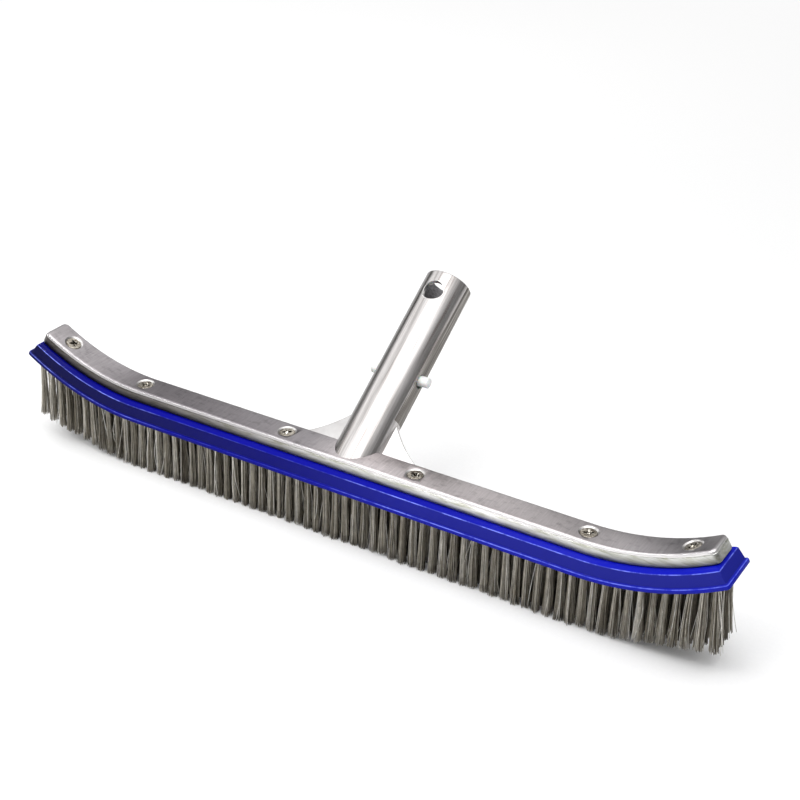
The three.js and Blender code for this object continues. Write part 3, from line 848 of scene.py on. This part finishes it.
def make_screw(number, arc, material, recess_finish):
    """A countersunk cross-head wood screw, threaded below its head."""
    tip = -HEAD_DEPTH - SCREW_LENGTH
    under = -HEAD_DEPTH - (HEAD_RADIUS - SHANK_RADIUS)
    sides, rings = 40, 84
    plain_neck = 0.6 * MM
    radius = thread(tip, under - plain_neck, THREAD_PITCH, THREAD_DEPTH)
    place = on_back(arc)
    rows = []
    for k in range(rings + 1):
        z = tip + (under - tip) * k / rings
        point = min(1, 0.25 + (z - tip) / POINT_LENGTH)
        rows.append([(radius(z, 2 * math.pi * i / sides) * point, z) for i in range(sides)])
    rim = 0.25 * MM
    for r, z in ((HEAD_RADIUS, -HEAD_DEPTH - rim), (HEAD_RADIUS - 0.3 * rim, -HEAD_DEPTH - 0.2 * rim),
                 (HEAD_RADIUS - rim, -HEAD_DEPTH)):
        rows.append([(r, z)] * sides)
    points = []
    for row in rows:
        for i, (r, z) in enumerate(row):
            turn = 2 * math.pi * i / sides
            points.append(place @ Vector((r * math.cos(turn), r * math.sin(turn), z)))
    faces = [tuple(range(sides)), tuple(range(len(points) - 1, len(points) - sides - 1, -1))]
    for k in range(len(rows) - 1):
        for i in range(sides):
            a, b = k * sides + i, k * sides + (i + 1) % sides
            faces.append((a, b, b + sides, a + sides))
    screw = make_object(f"screw_{number}_fine", points, faces, material)
    combine(screw, "DIFFERENCE", make_recess(place, 20 + RECESS_TURN * number, recess_finish))
    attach(shaded(screw, 35), "brush")
    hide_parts(f"screw_{number}")


def make_recess(place, degrees, material):
    """A cross recess: two tapered wings that narrow to a point, with a round well between them."""
    spin = Matrix.Rotation(math.radians(degrees), 4, "Z")
    top = 0.2 * MM - HEAD_DEPTH
    wings = []
    for turn in (0, math.pi / 2):
        right = [(RECESS_ARM, top), (1.8 * MM, top - 1.5 * MM), (0.5 * MM, top - 2.4 * MM)]
        outline = [(-RECESS_ARM, top)] + right + [(-x, z) for x, z in reversed(right[1:])]
        at = place @ spin @ Matrix.Rotation(turn, 4, "Z")
        wings.append(slab("wing", outline, RECESS_HALF_WIDTH, at, material))
    well = [(0, top - 2.2 * MM), (1.1 * MM, top - 1.8 * MM), (1.9 * MM, top), (0, top)]
    return combine(wings[0], "UNION", wings[1], turned("well", well, 24, place, material))


def strap(name, centreline, material):
    """The clip's flat strap along a line of (x, z) points in the tube's frame."""
    line = [Vector(p) for p in centreline]
    outer, inner = [], []
    for i, p in enumerate(line):
        ahead = (line[min(i + 1, len(line) - 1)] - line[max(i - 1, 0)]).normalized()
        side = Vector((-ahead.y, ahead.x)) * CLIP_THICKNESS / 2
        outer.append(tuple(p + side))
        inner.append(tuple(p - side))
    piece = slab(name, outer + inner[::-1], CLIP_HALF_WIDTH, TUBE, material)
    return bevelled(piece, 0.3 * MM, 3, 50)


def make_clip(material):
    shoulder = 2.3 * MM
    across = CLIP_PIVOT_X - shoulder
    crown = -CLIP_TOP_AT - CLIP_THICKNESS / 2
    right = rounding((across, crown - shoulder), shoulder, 90, 0, 8)
    right += [(CLIP_PIVOT_X, -CLIP_PIVOT_AT + 0.1 * MM)]
    bend = strap("clip_bend_fine", [(-x, z) for x, z in reversed(right)] + right, material)
    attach(shaded(bend), "brush")
    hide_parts("clip_bend")
    for side, word in ((-1, "left"), (1, "right")):
        pivot = Vector((side * CLIP_PIVOT_X, -CLIP_PIVOT_AT))
        ahead = Vector((side * math.sin(LEG_SPLAY), -math.cos(LEG_SPLAY)))
        steps = 24
        line = [pivot + ahead * LEG_LENGTH * i / steps for i in range(steps + 1)]
        leg = strap(f"clip_leg_{word}_fine", line, material)
        foot = rounding((BUTTON_RADIUS - BUTTON_ROUNDING, BUTTON_TIP - 1.5 * MM), BUTTON_ROUNDING, 0, 50, 4)
        profile = [(0, BUTTON_ROOT), (BUTTON_RADIUS, BUTTON_ROOT), *foot,
                   (BUTTON_RADIUS * 0.5, BUTTON_TIP - 0.25 * MM),
                   (BUTTON_RADIUS * 0.2, BUTTON_TIP - 0.03 * MM),
                   (0, BUTTON_TIP)]
        button = turned("button", profile, 48, in_tube(0, side * 90, 0, -BUTTON_AT), material)
        combine(leg, "UNION", button)
        shaded(leg)
        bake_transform(leg)
        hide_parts(f"clip_leg_{word}")


# ---- bristles ----
def wire_lines(x, y, rng):
    """The centrelines of one tuft's wires, as (wires, steps, 3), and the tone of each wire."""
    n = WIRES_PER_TUFT
    golden = math.pi * (3 - math.sqrt(5))
    reach = TUFT_ROOT_RADIUS * np.sqrt((np.arange(n) + 0.5) / n)
    turn = golden * np.arange(n) + rng.uniform(0, 2 * math.pi)
    root = np.stack([reach * np.cos(turn), reach * np.sin(turn)], axis=1)
    last = (TUFT_GROUPS * COLUMNS_PER_GROUP - 1) / 2 * TUFT_PITCH
    fan = END_FAN * math.exp(-(last - abs(x)) / TUFT_PITCH) * math.copysign(1, x)
    lean = rng.normal(0, 0.3 * MM, 2) + np.array([fan, 0.06 * y])
    tip = root * rng.uniform(1.5, 1.8) + lean + rng.normal(0, 0.32 * MM, (n, 2))
    stray = rng.random(n) < STRAY_SHARE
    tip[stray] += rng.normal(0, 1, (stray.sum(), 2)).clip(-1.5, 1.5) * STRAY_REACH
    bow = rng.normal(0, 0.14 * MM, (n, 2)) + rng.normal(0, 0.15 * MM, 2)
    bow[stray] *= 6
    base = underside_at(x)
    short = abs(rng.normal(0, 0.25 * MM)) + (rng.random() < 0.05) * rng.uniform(0.6, 1.6) * MM
    extra = LONG_RATE * max(abs(x) - LONG_FROM, 0)
    length = BRISTLE_LENGTH + extra - short - np.abs(rng.normal(0, 0.3 * MM, n))
    length[stray] -= 1.5 * MM
    s = np.linspace(0, 1, WIRE_STEPS)[None, :, None]
    across = root[:, None] + (tip - root)[:, None] * s ** 1.35 + bow[:, None] * np.sin(math.pi * s)
    down = -length[:, None] * s[..., 0] + base
    line = np.concatenate([across + (x, y), down[..., None]], axis=2)
    inside = line[:, :1] + (0, 0, WIRE_IN_HOLE)
    # Painted light and shade in the tone: lighter on each tuft's -X side, darker on its +X side, and darker
    # in the two inner rows.
    shade = 0.14 * root[:, 0] / TUFT_ROOT_RADIUS + (0.16 if abs(y) < TUFT_PITCH else 0)
    tone = np.clip(rng.normal(0.52, 0.26, n) + rng.normal(0, 0.07) - shade, 0.0, 0.92)
    tone[stray] = rng.uniform(0.85, 1.0, stray.sum())
    return np.concatenate([inside, line], axis=1), tone


def make_tuft_group(number, material):
    """The wires of one CAD group of tufts, in one object."""
    rng = np.random.default_rng(SEED + number)
    made = [wire_lines(x, y, rng) for x in group_columns(number) for y in tuft_rows()]
    lines = np.concatenate([line for line, tone in made])
    tones = np.concatenate([tone for line, tone in made])
    wires, steps = lines.shape[:2]
    turns = 2 * math.pi * np.arange(WIRE_SIDES) / WIRE_SIDES
    ring = WIRE_RADIUS * np.stack([np.cos(turns), np.sin(turns), 0 * turns], axis=1)
    points = (lines[:, :, None] + ring).reshape(-1, 3)
    i = np.arange(WIRE_SIDES)
    j = (i + 1) % WIRE_SIDES
    level = (np.arange(wires * steps).reshape(wires, steps) * WIRE_SIDES)[:, :-1, None]
    quads = np.stack([level + i, level + i + WIRE_SIDES, level + j + WIRE_SIDES, level + j], axis=-1)
    first = np.arange(wires)[:, None] * steps * WIRE_SIDES
    caps = np.concatenate([first + i, first + (steps - 1) * WIRE_SIDES + i[::-1]])
    mesh = bpy.data.meshes.new(f"wires_{number + 1:02d}")
    mesh.from_pydata(points.tolist(), [], quads.reshape(-1, 4).tolist() + caps.tolist())
    tone = mesh.attributes.new("tone", "FLOAT", "POINT")
    tone.data.foreach_set("value", np.repeat(tones, steps * WIRE_SIDES).astype(np.float32))
    mesh.shade_smooth()
    mesh.materials.append(material)
    piece = bpy.data.objects.new(mesh.name, mesh)
    bpy.context.scene.collection.objects.link(piece)
    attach(piece, "brush")
    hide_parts(f"tuft_group_{number + 1:02d}")


# ---- studio ----
def make_camera():
    azimuth, elevation, roll = (math.radians(a) for a in (31.14, 28.765, 0.97))
    target, distance = Vector((32.6, -0.6, 95.8)) * MM, 811.43 * MM
    back = Vector((math.sin(azimuth) * math.cos(elevation), -math.cos(azimuth) * math.cos(elevation),
                   math.sin(elevation)))
    lens = bpy.data.cameras.new("camera")
    lens.sensor_width, lens.lens = 36, 68.28
    camera = bpy.data.objects.new("camera", lens)
    camera.rotation_mode = "QUATERNION"
    camera.location = target + back * distance
    camera.rotation_quaternion = (-back).to_track_quat("-Z", "Y") @ Euler((0, 0, roll)).to_quaternion()
    bpy.context.scene.collection.objects.link(camera)
    bpy.context.scene.camera = camera


def softbox(name, place, aim, size, power, colour=(1, 1, 1)):
    lamp = bpy.data.lights.new(name, "AREA")
    lamp.shape = "RECTANGLE"
    lamp.size, lamp.size_y = size
    lamp.energy, lamp.color = power, colour
    light = bpy.data.objects.new(name, lamp)
    light.location = place
    light.rotation_mode = "QUATERNION"
    light.rotation_quaternion = (Vector(aim) - Vector(place)).to_track_quat("-Z", "Y")
    bpy.context.scene.collection.objects.link(light)


def make_floor():
    """White paper, a little brighter far away, so that the backdrop stays white."""
    finish = Finish("paper", Roughness=0.7)
    paper = finish.noise(2 * MM, detail=3)
    finish.colour(finish.ramp(paper, [(0.3, 0.91), (0.7, 0.93)]))
    away = finish.add("ShaderNodeVectorMath", operation="LENGTH")
    finish.link(finish.place, away.inputs[0])
    glow = finish.calculated("MULTIPLY", finish.spread(away.outputs["Value"], 0.5, 2.0), 0.3)
    finish.shader.inputs["Emission Color"].default_value = (1, 1, 1, 1)
    finish.link(glow, finish.shader.inputs["Emission Strength"])
    half = 40
    floor = make_object("floor", [(-half, -half, 0), (half, -half, 0), (half, half, 0), (-half, half, 0)],
                        [(0, 1, 2, 3)], finish.material)


def make_sky():
    """A studio's walls and ceiling: grey at eye level, brighter overhead."""
    world = bpy.data.worlds.new("studio")
    world.use_nodes = True
    tree = world.node_tree
    nodes, link = tree.nodes, tree.links.new
    direction = nodes.new("ShaderNodeTexCoord").outputs["Generated"]
    split = nodes.new("ShaderNodeSeparateXYZ")
    link(direction, split.inputs[0])
    ramp = nodes.new("ShaderNodeValToRGB")
    levels = [(0.0, 0.08), (0.3, 0.2), (0.55, 0.45), (0.72, 0.8), (0.88, 1.35)]
    while len(ramp.color_ramp.elements) < len(levels):
        ramp.color_ramp.elements.new(0.5)
    for element, (at, tone) in zip(ramp.color_ramp.elements, levels):
        element.position, element.color = at, (tone, tone, tone, 1)
    link(split.outputs["Z"], ramp.inputs["Fac"])
    background = nodes["Background"]
    link(ramp.outputs["Color"], background.inputs["Color"])
    background.inputs["Strength"].default_value = 1.0
    bpy.context.scene.world = world


def main():
    bpy.context.scene.view_settings.view_transform = "Standard"
    make_camera()
    make_sky()
    make_floor()
    softbox("overhead", (0.2, -0.18, 0.95), (0.2, -0.18, 0), (1.0, 0.6), 3.4)
    softbox("edge_strip", (-0.5, -0.55, 0.81), (-0.5, 0, 0.05), (1.1, 0.035), 3.0)
    softbox("front_left", (-0.55, -0.97, 0.4), (-0.55, 0, 0.05), (1.2, 0.4), 1.7)
    softbox("left_low", (-1.2, -0.3, 0.13), (0, 0, 0.03), (0.8, 0.34), 4.0)
    softbox("left_high", (-1.0, 0.1, 0.74), (0, 0.1, 0.1), (0.7, 0.4), 1.1)
    softbox("back_card", (-0.5, 0.9, 0.65), (0, 0, 0.05), (0.45, 0.3), 0.45)
    make_handle_casting()
    make_brush_block()
    nickel, recess_finish, nylon, steel = nickel_plate(), dark_speckled_recess(), white_nylon(), steel_wire()
    for i, arc in enumerate(SCREW_ARCS):
        make_screw(i + 1, arc, nickel, recess_finish)
    make_clip(nylon)
    for number in range(TUFT_GROUPS):
        make_tuft_group(number, steel)


main()
